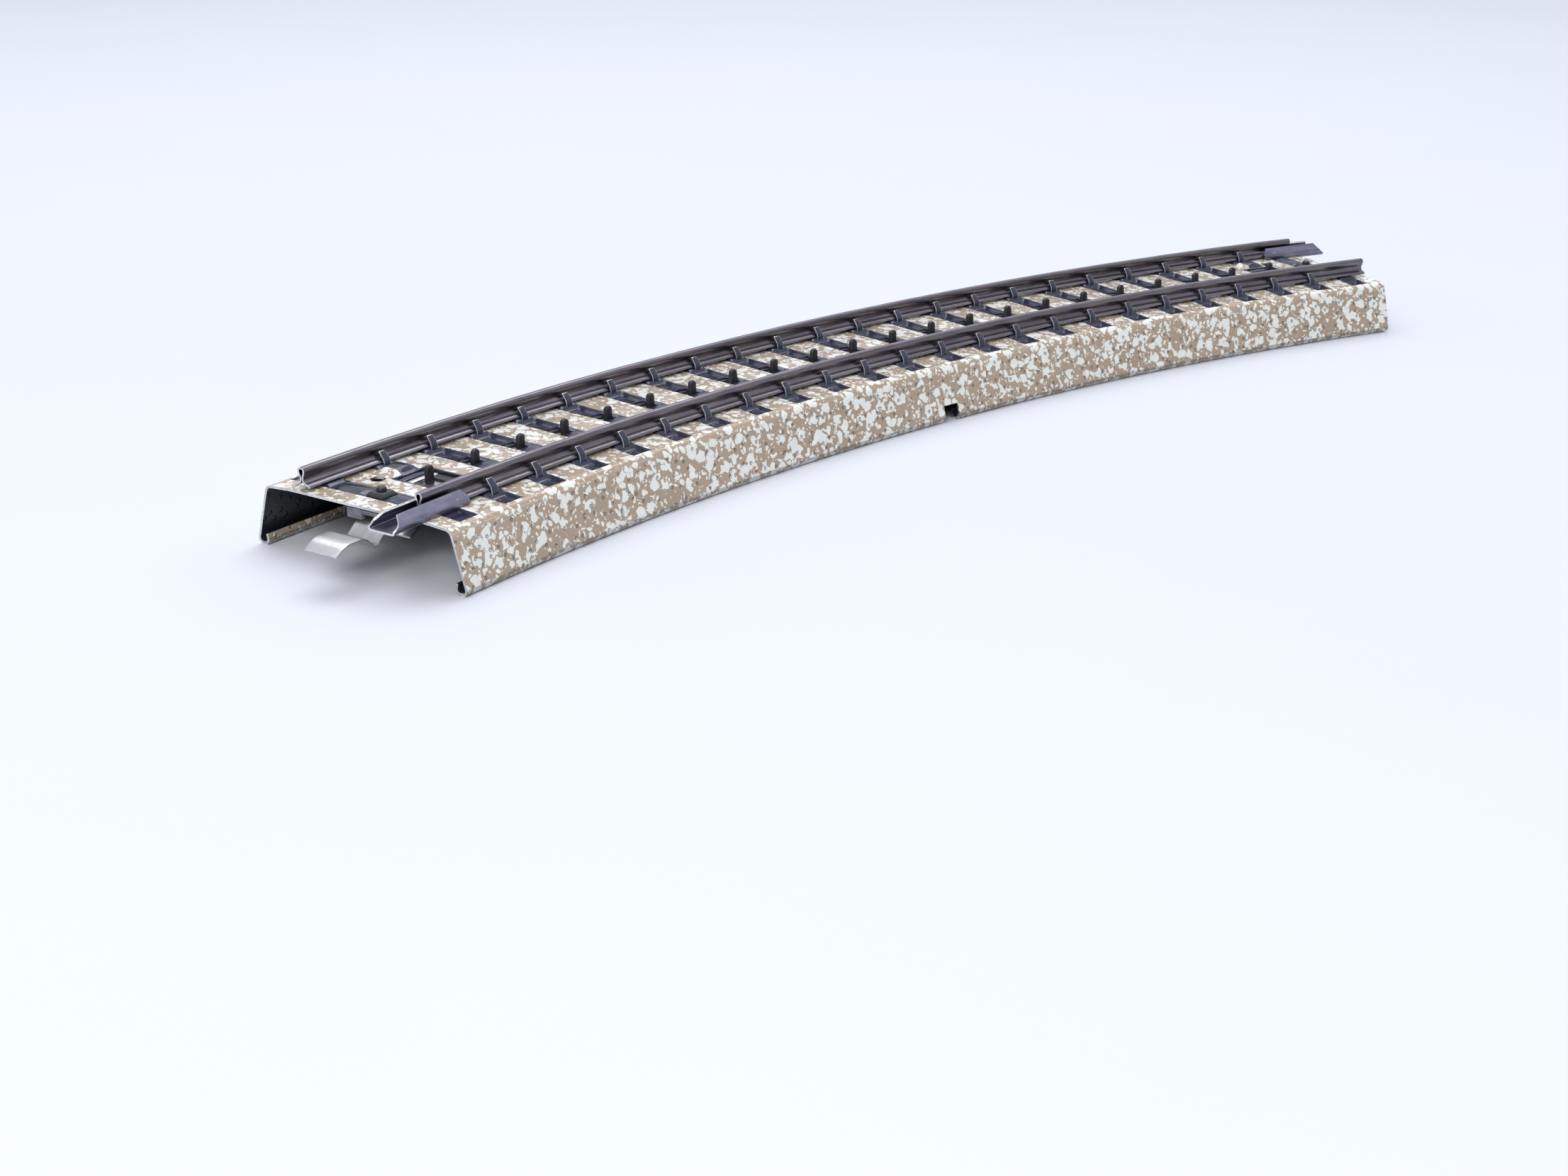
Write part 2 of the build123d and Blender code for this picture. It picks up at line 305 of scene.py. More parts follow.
# ------------------------------------------------------------------ material helpers
class Nodes:
    """Short names for building one node tree."""

    def __init__(self, name):
        self.material = bpy.data.materials.new(name)
        self.material.use_nodes = True
        self.tree = self.material.node_tree
        self.shader = self.tree.nodes["Principled BSDF"]

    def add(self, kind, inputs=(), **settings):
        node = self.tree.nodes.new("ShaderNode" + kind)
        for key, value in settings.items():
            setattr(node, key, value)
        for key, value in dict(inputs).items():
            self.link(value, node.inputs[key])
        return node

    def link(self, value, socket):
        if isinstance(value, bpy.types.NodeSocket):
            self.tree.links.new(value, socket)
        else:
            socket.default_value = value

    def math(self, operation, *values):
        node = self.add("Math", operation=operation)
        for socket, value in zip(node.inputs, values):
            self.link(value, socket)
        return node.outputs[0]

    def remap(self, value, low, high, to_low=0.0, to_high=1.0, smooth=False):
        node = self.add("MapRange", interpolation_type="SMOOTHSTEP" if smooth else "LINEAR")
        for key, item in zip(("Value", "From Min", "From Max", "To Min", "To Max"),
                             (value, low, high, to_low, to_high)):
            self.link(item, node.inputs[key])
        return node.outputs[0]

    def mix(self, factor, a, b):
        node = self.add("Mix", data_type="RGBA")
        self.link(factor, node.inputs[0])
        self.link(a, node.inputs[6])
        self.link(b, node.inputs[7])
        return node.outputs[2]

    def place_mm(self):
        """The point on the piece in millimetres, in the row frame."""
        node = self.add("VectorMath", operation="SCALE")
        self.link(self.add("TexCoord").outputs["Object"], node.inputs[0])
        node.inputs["Scale"].default_value = 1 / MM
        return node.outputs[0]

    def along_mm(self, stretch=(1, 1, 1)):
        """Millimetres along the curve, across it and up, each divided by its stretch."""
        split = self.add("SeparateXYZ", {0: self.place_mm()})
        y = self.math("SUBTRACT", split.outputs[1], CENTRE_Y)
        angle = self.math("ARCTAN2", split.outputs[0], y)
        squares = self.math("ADD", self.math("MULTIPLY", split.outputs[0], split.outputs[0]),
                            self.math("MULTIPLY", y, y))
        lat = self.math("SUBTRACT", self.math("SQRT", squares), CURVE_RADIUS)
        join = self.add("CombineXYZ")
        along = self.math("MULTIPLY", angle, CURVE_RADIUS)
        for k, value in enumerate((along, lat, split.outputs[2])):
            self.link(self.math("DIVIDE", value, stretch[k]), join.inputs[k])
        return join.outputs[0]

    def dents(self):
        """Distance from the nearest dent; they lie over length along the curve and height."""
        split = self.add("SeparateXYZ", {0: self.along_mm()})
        flat = self.add("CombineXYZ", {0: split.outputs[0], 1: split.outputs[2]})
        cells = self.add("TexVoronoi", {"Vector": flat.outputs[0], "Scale": FLANK_DENTS_PER_MM,
                                        "Randomness": 0.9}, voronoi_dimensions="2D")
        return cells.outputs["Distance"]

    def noise(self, vector, scale, detail=2.0, roughness=0.5):
        node = self.add("TexNoise", {"Vector": vector, "Scale": scale, "Detail": detail,
                                     "Roughness": roughness})
        return node.outputs["Fac"]

    def height_mm(self):
        """Millimetres above the base."""
        return self.add("SeparateXYZ", {0: self.place_mm()}).outputs[2]

    def bump(self, height, distance, strength=1.0, normal=None):
        """A normal from a height map whose full range is the distance, in millimetres."""
        node = self.add("Bump", {"Height": height, "Distance": distance * MM, "Strength": strength})
        if normal is not None:
            self.link(normal, node.inputs["Normal"])
        return node.outputs[0]

    def set(self, **values):
        """Gives the shader its inputs and returns the material."""
        for key, value in values.items():
            self.link(value, self.shader.inputs[key.replace("_", " ")])
        return self.material


# ------------------------------------------------------------------ materials
# The print's layers of blots: cells in a millimetre, the share of the cells that hold a blot, and
# the smallest and the largest radius of a blot in cell widths.
BLOT_LAYERS = ((0.70, 0.80, 0.34, 0.58), (1.25, 0.80, 0.24, 0.50), (2.1, 0.55, 0.15, 0.44))
BLOT_WARP = 1.5
BROWN = ((0.325, 0.252, 0.186, 1), (0.405, 0.317, 0.232, 1))
CREAM = ((0.68, 0.70, 0.645, 1), (0.80, 0.81, 0.755, 1))
GRIME = (0.16, 0.12, 0.09, 1)
# Painted shade for the middles of the dents in the flanks.
DENT_SHADE = (0.13, 0.11, 0.10, 1)
# Black paint lifted towards blue: part the paint's own colour, part painted reflection.
BLACK_WITH_PAINTED_REFLECTION = ((0.014, 0.016, 0.036, 1), (0.028, 0.032, 0.060, 1))
DUST = (0.30, 0.29, 0.31, 1)
LACQUER = ((0.010, 0.011, 0.016, 1), (0.030, 0.032, 0.042, 1))
BLACK = ((0.008, 0.008, 0.011, 1), (0.030, 0.030, 0.036, 1))
# Painted highlight for the tops of the studs.
STUD_TOP_HIGHLIGHT = (0.10, 0.10, 0.12, 1)
BOARD_LAYERS = ((0.035, 0.037, 0.045, 1), (0.30, 0.31, 0.35, 1))
BOARD_DARK = (0.10, 0.105, 0.125, 1)
PAPER = ((0.012, 0.012, 0.016, 1), (0.045, 0.042, 0.042, 1))
TABLE = ((0.600, 0.617, 0.664, 1), (0.620, 0.637, 0.684, 1))


def ballast_print():
    """Glossy printed sheet: brown with pale rounded blots, and small dents in the flanks with painted
    shade in their middles.
    """
    n = Nodes("ballast_print")
    at = n.place_mm()

    # The point is moved by up to half of BLOT_WARP each way, so that the blots aren't round.
    warp = n.add("TexNoise", {"Vector": at, "Scale": 0.8, "Detail": 1.0, "Roughness": 0.55})
    bend = n.add("VectorMath", {0: warp.outputs["Color"], 1: (0.5, 0.5, 0.5)}, operation="SUBTRACT")
    push = n.add("VectorMath", {0: bend.outputs[0]}, operation="SCALE")
    push.inputs["Scale"].default_value = BLOT_WARP
    moved = n.add("VectorMath", {0: at, 1: push.outputs[0]}, operation="ADD").outputs[0]
    pale = 0.0
    for scale, share, least, most in BLOT_LAYERS:
        cells = n.add("TexVoronoi", {"Vector": moved, "Scale": scale, "Randomness": 1.0})
        lot = n.add("SeparateColor", {0: cells.outputs["Color"]})
        size = n.math("MULTIPLY", n.remap(lot.outputs[0], 0.0, 1.0, least, most),
                      n.math("LESS_THAN", lot.outputs[1], share))
        blot = n.remap(n.math("SUBTRACT", size, cells.outputs["Distance"]), 0.0, 0.05 * scale)
        pale = n.math("MAXIMUM", pale, blot)

    brown = n.mix(n.noise(at, 0.05), *BROWN)
    cream = n.mix(n.noise(at, 1.7), *CREAM)
    grime = n.remap(n.noise(at, 0.25, 4.0, 0.65), 0.35, 0.8)
    colour = n.mix(pale, brown, cream)
    colour = n.mix(n.math("MULTIPLY", grime, 0.14), colour, GRIME)

    # The dents are in the flanks alone: they fade out under the shoulder and above the hem.
    height = n.height_mm()
    on_flank = n.math("MULTIPLY", n.remap(height, 7.2, 6.6), n.remap(height, 0.4, 0.9))
    dents = n.dents()
    dent_depth = n.math("MULTIPLY", n.remap(dents, 0.05, 0.16, smooth=True), on_flank)
    # Painted shade: the colour is darkened in the middle of each dent.
    dent_shade = n.math("MULTIPLY", n.remap(dents, 0.11, 0.05), on_flank)
    colour = n.mix(n.math("MULTIPLY", dent_shade, 0.35), colour, DENT_SHADE)

    peel = n.bump(n.noise(at, 0.9, 1.0), 0.05, 0.3)
    normal = n.bump(dent_depth, 0.40, 1.0, peel)
    rough = n.remap(n.noise(at, 0.8, 4.0, 0.6), 0.3, 0.75, 0.24, 0.38)
    return n.set(Base_Color=colour, Roughness=rough, Normal=normal, Specular_IOR_Level=0.25,
                 Coat_Weight=0.4, Coat_Roughness=0.08, Coat_Normal=normal)


def sleeper_paint():
    """Thick glossy black paint, lifted towards blue as a painted reflection, with specks of dust."""
    n = Nodes("sleeper_paint")
    at = n.place_mm()
    dust = n.remap(n.noise(at, 3.6), 0.74, 0.79)
    # Painted reflection: the black paint's colour is lifted towards blue for the bluish surroundings
    # it reflects.
    tone = n.mix(n.noise(at, 0.4), *BLACK_WITH_PAINTED_REFLECTION)
    colour = n.mix(n.math("MULTIPLY", dust, 0.4), tone, DUST)
    rough = n.remap(n.noise(at, 0.9), 0.3, 0.7, 0.10, 0.22)
    normal = n.bump(n.noise(at, 0.7), 0.07, 0.4)
    return n.set(Base_Color=colour, Roughness=rough, Normal=normal)


def inner_lacquer():
    """Dark semi-gloss lacquer on the underside of the sheet."""
    n = Nodes("inner_lacquer")
    at = n.place_mm()
    tone = n.mix(n.noise(at, 0.3, 4.0, 0.6), *LACQUER)
    raised = n.remap(n.dents(), 0.22, 0.06, smooth=True)
    normal = n.bump(raised, 0.12, 0.8, n.bump(n.noise(at, 2.2, 3.0), 0.04, 0.5))
    rough = n.remap(n.noise(at, 1.0, 3.0), 0.3, 0.7, 0.22, 0.4)
    return n.set(Base_Color=tone, Roughness=rough, Normal=normal)


def metal(name, dark, light, low_rough, high_rough, run, scale, scratch=0.02, dent=0.12, spots=None):
    """Worked sheet metal: streaks along the track, run times as long as wide, with scratches and
    dents of the given depths in millimetres and, if asked, paler spots."""
    n = Nodes(name)
    drawn = n.along_mm((run, 1, 1))
    at = n.place_mm()
    streak = n.noise(drawn, scale, 4.0, 0.6)
    patch = n.noise(at, 0.18, 4.0, 0.65)
    level = n.math("ADD", n.math("MULTIPLY", streak, 0.55), n.math("MULTIPLY", patch, 0.45))
    colour = n.mix(n.remap(level, 0.34, 0.66), dark, light)
    if spots:
        speck = n.remap(n.noise(at, 2.6, 3.0, 0.6), 0.66, 0.72)
        colour = n.mix(n.math("MULTIPLY", speck, 0.7), colour, spots)
    rough = n.remap(level, 0.3, 0.7, high_rough, low_rough)
    fine = n.noise(drawn, scale * 6, 3.0, 0.6)
    normal = n.bump(fine, scratch, 0.6, n.bump(patch, dent, 0.3))
    return n.set(Base_Color=colour, Metallic=1.0, Roughness=rough, Normal=normal)


def black_oxide():
    """Dull black of the contact studs, with a patchy painted highlight along the top."""
    n = Nodes("black_oxide")
    at = n.place_mm()
    # Painted highlight: the top 0.25 mm of each stud is lightened in patches.
    tip = n.remap(n.height_mm(), STUD_TOP - 0.25, STUD_TOP)
    top_highlight = n.math("MULTIPLY", tip, n.remap(n.noise(at, 2.4, 3.0), 0.4, 0.62))
    tone = n.mix(n.noise(at, 1.2, 4.0), *BLACK)
    colour = n.mix(n.math("MULTIPLY", top_highlight, 0.5), tone, STUD_TOP_HIGHLIGHT)
    rough = n.remap(n.noise(at, 2.0, 3.0), 0.3, 0.7, 0.32, 0.52)
    normal = n.bump(n.noise(at, 4.5, 4.0, 0.65), 0.05, 0.6)
    return n.set(Base_Color=colour, Roughness=rough, Normal=normal)


def laminated_board():
    """Dark insulating board whose layers show on its cut faces."""
    n = Nodes("laminated_board")
    at = n.place_mm()
    layers = n.noise(n.along_mm((6, 6, 0.35)), 2.2, 3.0)
    tone = n.mix(layers, *BOARD_LAYERS)
    colour = n.mix(n.remap(n.noise(at, 0.8, 3.0), 0.35, 0.7), tone, BOARD_DARK)
    normal = n.bump(layers, 0.06, 0.6)
    rough = n.remap(n.noise(at, 3.0, 3.0), 0.3, 0.7, 0.4, 0.62)
    return n.set(Base_Color=colour, Roughness=rough, Normal=normal)


def liner_sheet():
    """Dark impregnated paper."""
    n = Nodes("liner_sheet")
    fibres = n.noise(n.along_mm((1.6, 0.25, 1)), 3.0, 4.0, 0.7)
    rough = n.remap(fibres, 0.3, 0.7, 0.5, 0.7)
    return n.set(Base_Color=n.mix(fibres, *PAPER), Roughness=rough, Normal=n.bump(fibres, 0.03, 0.5))


def studio_floor():
    """Even, matt, slightly blue white."""
    n = Nodes("studio_floor")
    grain = n.noise(n.place_mm(), 0.02, 3.0)
    return n.set(Base_Color=n.mix(grain, *TABLE), Roughness=n.remap(grain, 0.3, 0.7, 0.8, 0.9))


PRINT = ballast_print()
PAINT = sleeper_paint()
INSIDE = inner_lacquer()
CUT_EDGE = metal("cut_edge", (0.42, 0.42, 0.43, 1), (0.86, 0.85, 0.83, 1),
                 0.22, 0.42, run=2.0, scale=3.0)
RAIL_STEEL = metal("burnished_rail", (0.128, 0.117, 0.134, 1), (0.245, 0.225, 0.243, 1),
                   0.24, 0.36, run=40.0, scale=1.0, scratch=0.012, dent=0.06,
                   spots=(0.32, 0.30, 0.29, 1))
# Painted reflection: the joiner steel is tinted blue for the bluish surroundings it reflects.
JOINER_STEEL = metal("steel_with_painted_blue_reflection", (0.155, 0.150, 0.210, 1), (0.320, 0.312, 0.395, 1),
                     0.28, 0.44, run=5.0, scale=1.4, scratch=0.02, dent=0.05,
                     spots=(0.55, 0.55, 0.60, 1))
SPRING_STEEL = metal("spring_sheet", (0.46, 0.45, 0.45, 1), (0.66, 0.65, 0.64, 1),
                     0.26, 0.38, run=5.0, scale=1.2, scratch=0.006, dent=0.02)
OXIDE = black_oxide()
BOARD = laminated_board()
LINER = liner_sheet()


# ------------------------------------------------------------------ the pressed and printed bed
def bed_outline():
    """Outer surface from the deck's shoulder to the hem's lip, as offset and height."""
    steps = 12
    deck_edge = (DECK_FLAT_HALF + 1.6, DECK_TOP - 0.1)
    flank_top = (SHOULDER_HALF + 0.20, DECK_TOP - SHOULDER_DROP)
    foot = (BASE_HALF - 0.01, HEM_RADIUS + 0.1)
    shoulder = rounded([deck_edge, flank_top, foot], SHOULDER_ROUND, 7)[1:-1]
    last = Vector(shoulder[-1])
    flank = [tuple(last.lerp(Vector(foot), k / steps)) for k in range(1, steps + 1)]
    centre = BASE_HALF - HEM_RADIUS
    hem = []
    for k in range(1, steps + 1):
        a = math.radians(-180 * k / steps)
        hem.append((centre + HEM_RADIUS * math.cos(a), HEM_RADIUS * (1 + math.sin(a))))
    lip = [(centre - HEM_RADIUS + 0.06, 1.2), (centre - HEM_RADIUS + 0.15, HEM_LIP_TOP)]
    return shoulder + flank + hem + lip


def deck_level(lat):
    """Height of the unpressed deck, which falls a little towards its shoulders."""
    slope_length = SHOULDER_HALF - DECK_FLAT_HALF
    return DECK_TOP - SHOULDER_DROP * max(0.0, (abs(lat) - DECK_FLAT_HALF) / slope_length)


class Sleeper:
    """One pressed sleeper. In its methods s is the length along the curve from its middle."""

    def __init__(self, index):
        self.index = index
        self.angle = sleeper_angle(index)
        self.end = index in (0, SLEEPERS - 1)
        self.window = index in (1, SLEEPERS - 2)
        random.random()  # passed over: the draws that follow depend on the order
        self.depth = random.uniform(0.85, 1.15)
        self.slide = random.uniform(-0.12, 0.12)

    def opening(self, lat, s):
        """True inside the hole cut through the sleeper: a peg's hole, a window or a stud's slot."""
        if self.end:
            return abs(lat) < PEG_HOLE_HALF and abs(s) < PEG_HOLE_HALF
        if self.window:
            return WINDOW_INNER < lat < WINDOW_OUTER and abs(s) < WINDOW_HALF
        return SLOT_INNER < lat < SLOT_OUTER and abs(s) < SLOT_HALF

    def painted(self, lat, s):
        """True where the sheet is painted blue-black."""
        if self.window and WINDOW_INNER - WINDOW_FRAME < lat < WINDOW_OUTER + WINDOW_FRAME:
            return abs(s) < WINDOW_HALF + WINDOW_FRAME
        if self.window and BOSS_INNER < lat < BOSS_OUTER + 0.2:
            return -1.1 < s < BOSS_HALF
        return abs(lat) < SLEEPER_END and abs(s) < SLEEPER_HALF

    def press(self, lat, s):
        """Height of the pressed surface above the deck at this point of the sleeper."""
        side = abs(s)
        if side > SLEEPER_HALF + 0.3:
            return 0.0
        if self.window and BOSS_INNER - BOSS_SKIRT < lat < BOSS_OUTER + BOSS_SKIRT:
            dome = max(0.0, 1 - (s / BOSS_HALF) ** 2) ** 0.6
            slopes = (ramp(lat, BOSS_INNER - BOSS_SKIRT, BOSS_INNER + BOSS_SLOPE)
                      * ramp(BOSS_OUTER - lat, -BOSS_SKIRT, BOSS_SLOPE))
            return BOSS_HEIGHT * dome * slopes
        inside = ramp(SLEEPER_HALF - side, 0.0, 0.35)
        round_top = max(0.0, 1 - (side / SLEEPER_HALF) ** 2)
        across = abs(lat)
        under_joiner = (self.index, lat < 0) in ((0, True), (SLEEPERS - 1, False))
        rise = -SLEEPER_DROP * inside
        pan = ramp(SLEEPER_END - across, 0.0, 0.4) * ramp(across, PAN_START, PAN_FULL)
        rise -= PAN_DEPTH * self.depth * inside * (1 - 0.2 * round_top) * pan
        if not under_joiner:
            seat = ramp(SEAT_HALF + SEAT_BLEND - abs(across - RAIL_OFFSET), 0.0, SEAT_BLEND)
            rise += (SEAT_HEIGHT + SLEEPER_DROP * inside) * inside * seat
        if self.end:
            pillow = ramp(PAD_END - across, 0.0, 1.0) * ramp(across, 1.3, 2.2)
            return rise + CROWN_HEIGHT * self.depth * round_top * pillow
        if self.window:
            return rise
        if lat > SLOT_OUTER:
            hollow = ramp(PAD_END - lat, 0.0, 0.4) * ramp(lat, SLOT_OUTER, SLOT_OUTER + 0.5)
            rise -= HOLLOW_DEPTH * self.depth * inside * (1 - 0.2 * round_top) * hollow
        elif lat < SLOT_INNER:
            crown = ramp(PAD_END + lat, 0.0, 1.2) * ramp(-lat, -SLOT_INNER, 1.9)
            rise += CROWN_HEIGHT * self.depth * round_top * crown
        else:
            rise -= SLOT_DROP * inside
        return rise


SLEEPER_LIST = [Sleeper(k) for k in range(SLEEPERS)]


def bed_columns():
    """Angles of the sheet's grid lines that run across the track."""
    plain = (0.0, 0.28, 0.55, PEG_HOLE_HALF, SLOT_HALF, 1.18, 1.32, 1.46, SLEEPER_HALF, 1.72, 2.0)
    framed = plain + (WINDOW_HALF, WINDOW_HALF + WINDOW_FRAME)
    marks = [-HALF_ANGLE, HALF_ANGLE, degrees_of(NOTCH_HALF), -degrees_of(NOTCH_HALF), 0.0]
    for line in SCREW_LINES:
        step = degrees_of(line, SCREW_OFFSET)
        marks += [SCREW_ANGLE + step, -SCREW_ANGLE + step]
    for sleeper in SLEEPER_LIST:
        for s in framed if sleeper.window else plain:
            marks += [sleeper.angle + degrees_of(s), sleeper.angle - degrees_of(s)]
    marks = [m for m in marks if abs(m) <= HALF_ANGLE + 1e-6]
    return filled(marks, degrees_of(0.7))


def bed_rows():
    """Offset and height of each grid line along the track, and whether it is on the deck."""
    marks = [0.0, SLOT_INNER, SLOT_OUTER, WINDOW_INNER, WINDOW_INNER - WINDOW_FRAME,
             WINDOW_OUTER, WINDOW_OUTER + WINDOW_FRAME]
    for edge in (PEG_HOLE_HALF, PAD_END, RAIL_OFFSET - SEAT_HALF, RAIL_OFFSET + SEAT_HALF,
                 DECK_FLAT_HALF, SLEEPER_END - 0.2, SLEEPER_END):
        marks += [edge, -edge]
    marks += [SCREW_OFFSET + line for line in SCREW_LINES]
    outline = bed_outline()
    rows = [(-x, z, False) for x, z in reversed(outline)]
    rows += [(lat, deck_level(lat), True) for lat in filled(marks, 0.36)]
    return rows + [(x, z, False) for x, z in outline]


def build_bed():
    """The sheet from hem to hem, with its sleepers, openings, bosses, screw holes and notches."""
    rows = bed_rows()
    columns = bed_columns()
    near = [min(SLEEPER_LIST, key=lambda s: abs(s.angle - a)) for a in columns]

    def screw_square(lat, angle):
        """Offsets from the nearer screw hole, in millimetres, and how far out they reach."""
        u = lat - SCREW_OFFSET
        v = math.radians(angle - math.copysign(SCREW_ANGLE, angle)) * (CURVE_RADIUS + SCREW_OFFSET)
        return u, v, max(abs(u), abs(v))

    def corner(r, c):
        lat, z, deck = rows[r]
        angle = columns[c]
        sleeper = near[c]
        s = math.radians(angle - sleeper.angle) * (CURVE_RADIUS + (lat if deck else 0))
        u, v, reach = screw_square(lat, angle)
        if deck and 0 < reach < SCREW_RADIUS + SCREW_BLEND:
            share = reach / math.hypot(u, v)
            share += (1 - share) * ramp(reach, SCREW_RADIUS, SCREW_RADIUS + SCREW_BLEND)
            lat = SCREW_OFFSET + u * share
            angle += degrees_of(v * share - v, SCREW_OFFSET)
            z -= SCREW_DIP * (1 - ramp(reach, SCREW_RADIUS, SCREW_RADIUS + SCREW_BLEND))
        to_end = math.radians(HALF_ANGLE - abs(angle)) * CURVE_RADIUS
        if deck:
            z += sleeper.press(lat, s)
            z += DECK_WAVE * math.sin(angle * 2.1 + lat * 0.5) * ramp(to_end, 0.0, 8.0)
            on_slot_rim = abs(lat - SLOT_OUTER) < 0.01 and abs(s) < SLOT_HALF
            if on_slot_rim and not sleeper.window:  # the slot's outer end is bowed
                lat += 0.45 * (1 - (s / SLOT_HALF) ** 2) - 0.3
        elif z < CORNER_RADIUS and to_end < CORNER_REACH:
            drop = CORNER_RADIUS - z
            back = CORNER_RADIUS - math.sqrt(max(0, CORNER_RADIUS ** 2 - drop ** 2))
            angle -= math.copysign(degrees_of(back * (1 - to_end / CORNER_REACH)), angle)
        if not deck and z > HEM_LIP_TOP:
            wave = FLANK_WAVE * math.sin(angle * 1.3) * ramp(z, HEM_LIP_TOP, 3.0)
            lat += math.copysign(wave, lat)
        return place(lat, angle, z)

    def middle(r, c):
        """Offset and angle of a quad's middle, its sleeper, and the length from that sleeper."""
        lat = (rows[r][0] + rows[r + 1][0]) / 2
        angle = (columns[c] + columns[c + 1]) / 2
        before, after = near[c], near[c + 1]
        sleeper = before if abs(before.angle - angle) < abs(after.angle - angle) else after
        return lat, angle, sleeper, math.radians(angle - sleeper.angle) * CURVE_RADIUS

    def keep(r, c):
        """Leaves out the openings, the screw holes and the notch at the foot of each flank."""
        lat, angle, sleeper, s = middle(r, c)
        if rows[r][2] and rows[r + 1][2]:
            return screw_square(lat, angle)[2] > SCREW_RADIUS and not sleeper.opening(lat, s)
        low = min(rows[r][1], rows[r + 1][1]) < NOTCH_TOP
        return not (low and abs(math.radians(angle)) * CURVE_RADIUS < NOTCH_HALF)

    def slot(r, c):
        lat, angle, sleeper, s = middle(r, c)
        return 1 if rows[r][2] and rows[r + 1][2] and sleeper.painted(lat, s) else 0

    upper = [PRINT, PAINT]
    under = [INSIDE, INSIDE]
    rims = [CUT_EDGE, PAINT]
    bed = grid_object("ballast_bed_sheet", len(rows), len(columns), corner, upper + under + rims,
                      keep, slot)
    bed.data.flip_normals()
    thicken(bed, SHEET, len(upper), len(upper + under), even=True)
    settle(bed, 50)
    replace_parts(bed, "ballast_bed")
    return bed


# ------------------------------------------------------------------ clips lanced up beside the rails
def clip_rings(sleeper, rail, side):
    """One clip from its root, under the pressed sheet, to its tip over the foot of the rail."""
    lean = random.uniform(-0.06, 0.06)
    shift = random.uniform(-0.1, 0.1)
    top = 1.62 + random.uniform(-0.08, 0.08)
    path = rounded([(1.95, -0.75), (1.66, -0.45), (1.54, 0.62), (0.62 + lean, top)], 0.32, 5)
    rings = []
    for k, (x, z) in enumerate(path):
        a = Vector(path[max(k - 1, 0)])
        b = Vector(path[min(k + 1, len(path) - 1)])
        along = (b - a).normalized()
        normal = Vector((along.y, -along.x))
        share = k / (len(path) - 1)
        width = CLIP_HALF * (1.5 - 0.5 * ramp(share, 0.0, 0.45)) - 0.05 * ramp(share, 0.9, 1.0)
        ring = []
        for w, t in ((-width, -1), (width, -1), (width, 1), (-width, 1)):
            p = Vector((x, z)) + normal * (t * CLIP_HALF_SHEET)
            lat = rail * RAIL_OFFSET + side * p.x
            slide = degrees_of(w + shift + 0.25 * share, lat)
            ring.append(place(lat, sleeper.angle + slide, DECK_TOP + p.y))
        rings.append(ring)
    return rings


def build_clips():
    """Four clips at each inner sleeper, one on each side of each rail."""
    clips = Solids()
    for sleeper in SLEEPER_LIST[1:-1]:
        for rail in (-1, 1):
            for side in (-1, 1):
                clips.loft(clip_rings(sleeper, rail, side), last_slot=1)
    obj = soften(clips.object("rail_clips", [PAINT, CUT_EDGE]), 0.07, edge_slot=1)
    settle(obj, 40)
    return obj


# ------------------------------------------------------------------ hollow rolled rails
def build_rail(name, offset, start, end):
    """One strip of sheet: foot, web, round head, web and foot again."""
    section_height = 2.5
    foot = [(1.27, 0.20), (1.12, 0.38), (0.86, 0.52), (0.55, 0.63)]
    web = [(0.33, 0.82), (0.27, 1.08), (0.33, 1.36), (0.46, 1.66)]
    head = [(0.53, 1.96), (0.46, 2.24), (0.27, 2.43), (0.0, section_height)]
    half = smoothed(foot + web + head)
    outline = half + [(-x, z) for x, z in reversed(half[:-1])]
    columns = filled([start, end], degrees_of(0.9))

    def corner(r, c):
        x, z = outline[r]
        angle = columns[c]
        sway = 0.05 * math.sin(angle * 0.9 + offset) + 0.02 * math.sin(angle * 3.7)
        height = RAIL_FOOT + z * RAIL_HEIGHT / section_height
        return place(offset + x + sway * (z / RAIL_HEIGHT), angle, height)

    rail = grid_object(name + "_sheet", len(outline), len(columns), corner, [RAIL_STEEL, CUT_EDGE])
    thicken(rail, RAIL_SHEET, 0, 1)
    settle(rail, 45)
    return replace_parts(rail, name)


# ------------------------------------------------------------------ rail joiners
def build_joiner(name, side):
    """Folded channel that holds a rail's foot and reaches past the end for the neighbour's rail."""
    offset = side * RAIL_OFFSET
    plate = DECK_TOP + 0.03
    outline = rounded([(-0.86, 9.50), (-1.74, 8.62), (-1.70, plate),
                       (1.70, plate), (1.74, 8.62), (0.86, 9.50)], 0.22, 4)
    outer = JOINED_END + degrees_of(JOINER_LENGTH / 2, offset)
    inner = outer - degrees_of(JOINER_LENGTH, offset)
    shares = filled([0.0, 1.0], 1 / 24)

    def corner(r, c):
        x, z = outline[r]
        up = ramp(z, plate + 0.25, 9.3)
        tip = outer - degrees_of(1.25 * up + (0.35 if z > 8.3 else 0.0))
        heel = inner + degrees_of(0.55 * ramp(z, 8.9, 9.5))
        angle = heel + (tip - heel) * shares[c]
        return place(offset + x, side * angle, z)

    joiner = grid_object(name + "_sheet", len(outline), len(shares), corner, [JOINER_STEEL, CUT_EDGE])
    if side > 0:
        joiner.data.flip_normals()
    thicken(joiner, JOINER_SHEET, 0, 1)
    settle(joiner, 40)
    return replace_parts(joiner, name)


